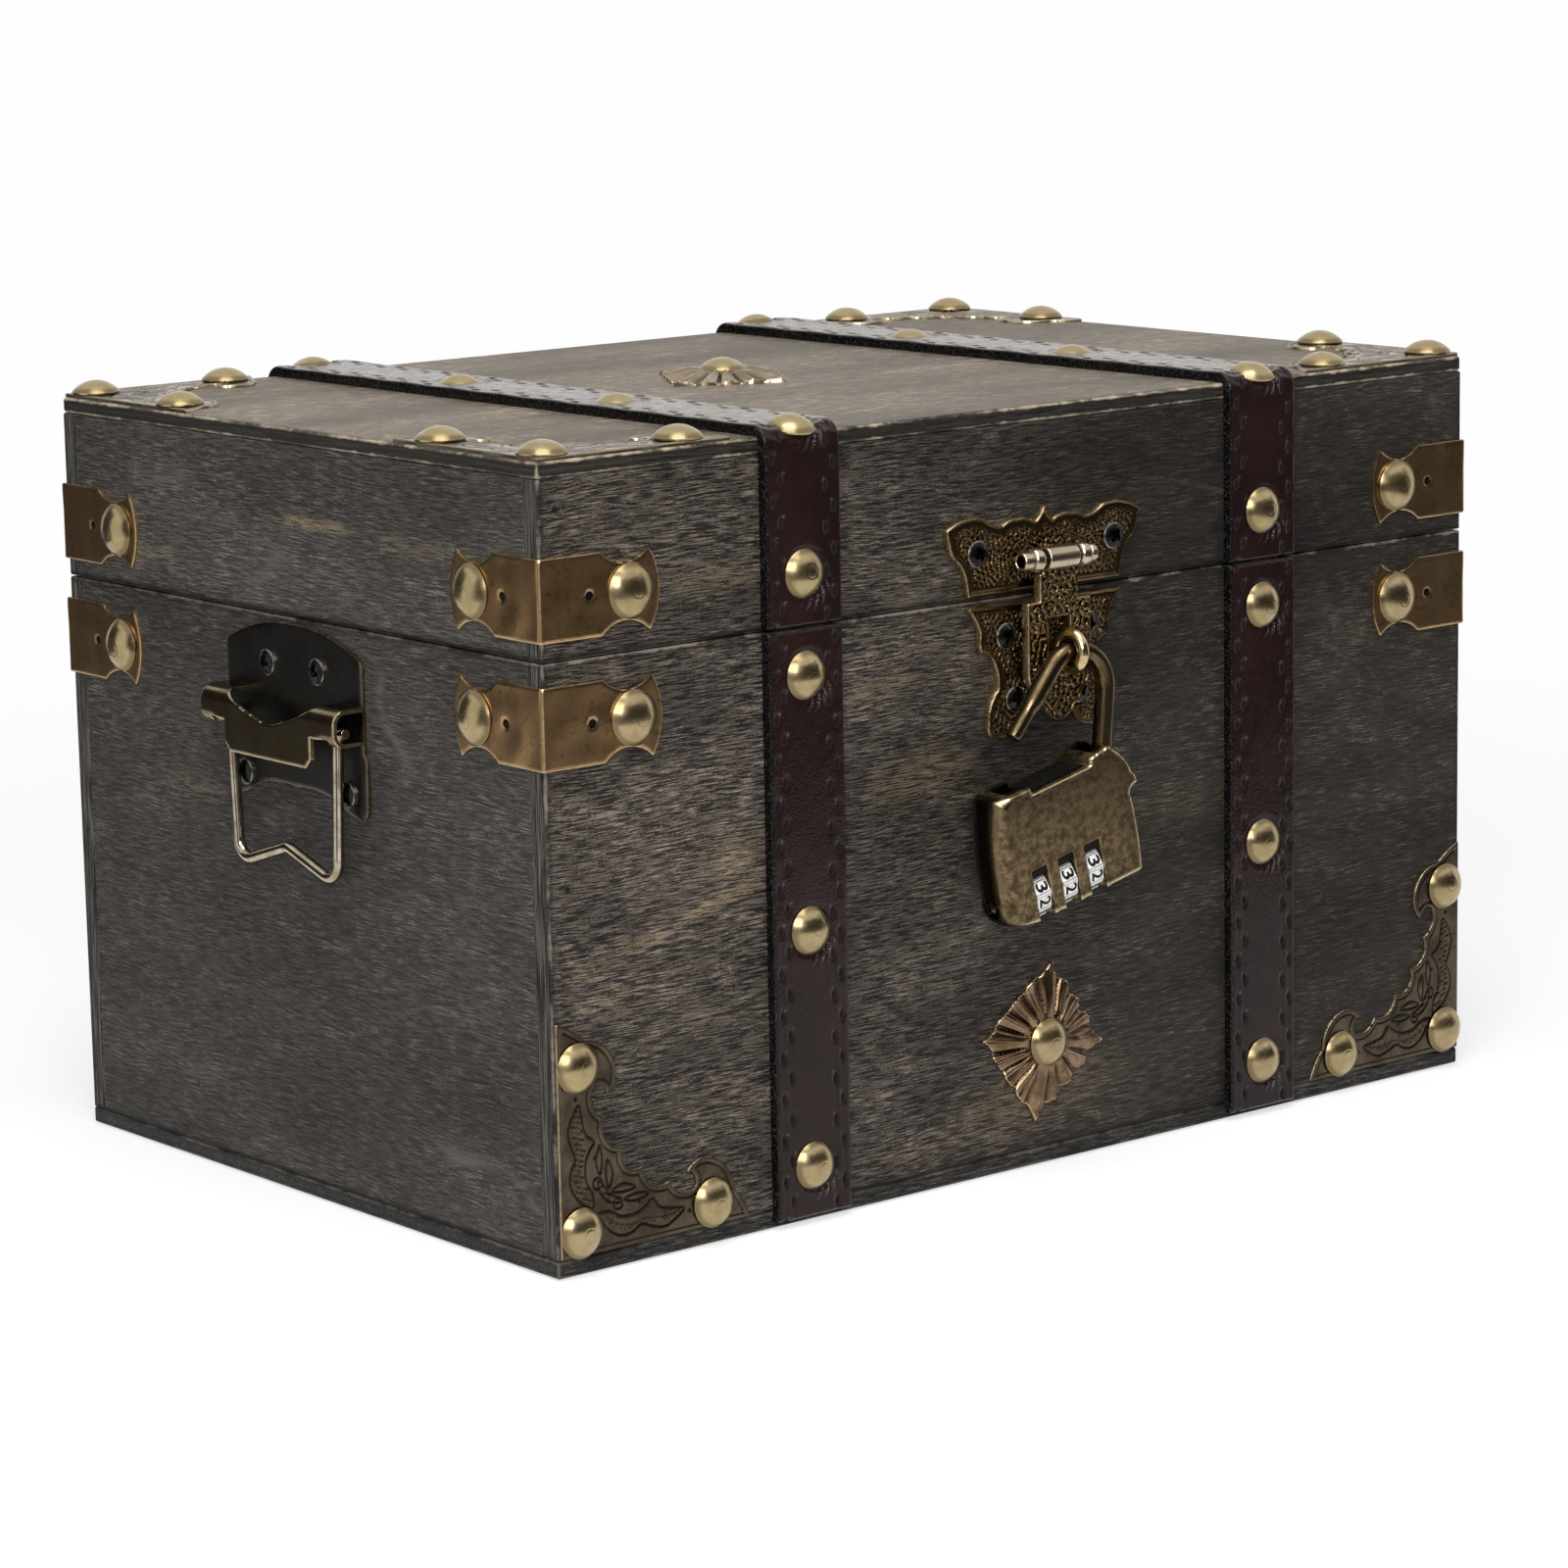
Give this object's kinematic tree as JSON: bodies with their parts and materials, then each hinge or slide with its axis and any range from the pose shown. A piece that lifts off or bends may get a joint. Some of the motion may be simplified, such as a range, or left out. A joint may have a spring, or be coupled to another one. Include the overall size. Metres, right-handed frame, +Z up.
{
  "type": "treasure chest box",
  "caption": "Small wooden treasure chest with a hinged lid, leather straps, brass nails and corner plates, side bail handles, a butterfly clasp and a hanging number padlock.",
  "frame": {"origin": "middle of the footprint, on the face that the chest stands on", "axes": "+X to the right along the front, -Y out of the front, +Z up"},
  "size_m": [0.287, 0.2014, 0.1756],
  "materials": {
    "stained_wood": "dark stained plywood, satin",
    "strap_leather": "dark brown, semi-gloss, stitched edges",
    "nail_brass": "satin brass",
    "dark_screws": "dark bronzed",
    "handle_bronze": "dark bronze, worn edges",
    "dial_white": "white with black numbers",
    "lock_inside": "black",
    "pin_nickel": "satin nickel",
    "hinge_bronze": "antique bronze",
    "antique_bronze": "antique bronze, worn edges"
  },
  "bodies": {
    "chest": {"base_board": "stained_wood", "front_board": "stained_wood", "back_board": "stained_wood", "left_side_board": "stained_wood", "right_side_board": "stained_wood", "front_strap_left": "strap_leather", "front_strap_right": "strap_leather", "back_strap_left": "strap_leather", "back_strap_right": "strap_leather", "front_corner_plate_left": "antique_bronze", "front_corner_plate_right": "antique_bronze", "body_band_front_left": "antique_bronze", "body_band_front_right": "antique_bronze", "body_band_back_left": "antique_bronze", "body_band_back_right": "antique_bronze", "front_ornament": "antique_bronze", "body_nails": "nail_brass", "clasp_lower_plate": "antique_bronze", "clasp_staple": "antique_bronze", "left_handle_plate": "handle_bronze", "right_handle_plate": "handle_bronze", "body_screws": "dark_screws", "left_hinge_body_leaf": "hinge_bronze", "right_hinge_body_leaf": "hinge_bronze", "hinge_pins": "hinge_bronze"},
    "lid": {"lid_top_board": "stained_wood", "lid_front_rail": "stained_wood", "lid_back_rail": "stained_wood", "lid_left_rail": "stained_wood", "lid_right_rail": "stained_wood", "lid_strap_left": "strap_leather", "lid_strap_right": "strap_leather", "lid_corner_plate_front_left": "antique_bronze", "lid_corner_plate_front_right": "antique_bronze", "lid_corner_plate_back_left": "antique_bronze", "lid_corner_plate_back_right": "antique_bronze", "lid_band_front_left": "antique_bronze", "lid_band_front_right": "antique_bronze", "lid_band_back_left": "antique_bronze", "lid_band_back_right": "antique_bronze", "lid_ornament": "antique_bronze", "lid_nails": "nail_brass", "clasp_upper_plate": "antique_bronze", "clasp_pin": "pin_nickel", "lid_screws": "dark_screws", "left_hinge_lid_leaf": "hinge_bronze", "right_hinge_lid_leaf": "hinge_bronze"},
    "hasp": {"clasp_hasp": "antique_bronze"},
    "left_bail": {"left_handle_bail": "handle_bronze"},
    "right_bail": {"right_handle_bail": "handle_bronze"},
    "shackle": {"padlock_shackle": "antique_bronze"},
    "lock": {"padlock_case": "antique_bronze", "padlock_latch": "lock_inside", "padlock_pivot_pin": "antique_bronze", "padlock_spindle": "lock_inside"},
    "dial_left": {"padlock_dial_left": "dial_white"},
    "dial_middle": {"padlock_dial_middle": "dial_white"},
    "dial_right": {"padlock_dial_right": "dial_white"}
  },
  "joints": [
    {"name": "lid_hinge", "type": "hinge", "parent": "chest", "child": "lid", "pos_m": [0, 0.0926, 0.129], "axis": [-1, 0, 0], "range_deg": [0, 100]},
    {"name": "hasp_hinge", "type": "hinge", "parent": "lid", "child": "hasp", "pos_m": [0.001, -0.0962, 0.1372], "axis": [-1, 0, 0], "range_deg": [0, 150]},
    {"name": "padlock_swing", "type": "hinge", "parent": "chest", "child": "shackle", "pos_m": [0.001, -0.1, 0.117], "axis": [-1, 0, 0], "range_deg": [0, 80]},
    {"name": "shackle_hinge", "type": "hinge", "parent": "shackle", "child": "lock", "pos_m": [0.0095, -0.1, 0.09], "axis": [0, 1, 0], "range_deg": [-45, 36]},
    {"name": "dial_left_spin", "type": "hinge", "parent": "lock", "child": "dial_left", "pos_m": [-0.01232, -0.1, 0.06516], "axis": [0.9744, 0, 0.225], "continuous": true},
    {"name": "dial_middle_spin", "type": "hinge", "parent": "lock", "child": "dial_middle", "pos_m": [-0.00457, -0.1, 0.06694], "axis": [0.9744, 0, 0.225], "continuous": true},
    {"name": "dial_right_spin", "type": "hinge", "parent": "lock", "child": "dial_right", "pos_m": [0.00317, -0.1, 0.06873], "axis": [0.9744, 0, 0.225], "continuous": true},
    {"name": "left_bail_swing", "type": "hinge", "parent": "chest", "child": "left_bail", "pos_m": [-0.1389, -0.0015, 0.1068], "axis": [0, 1, 0], "range_deg": [0, 45]},
    {"name": "right_bail_swing", "type": "hinge", "parent": "chest", "child": "right_bail", "pos_m": [0.1389, -0.0015, 0.1068], "axis": [0, -1, 0], "range_deg": [0, 45]}
  ],
  "couplings": [
    {"joint": "hasp_hinge", "follows": "lid_hinge", "ratio": 1.5}
  ]
}
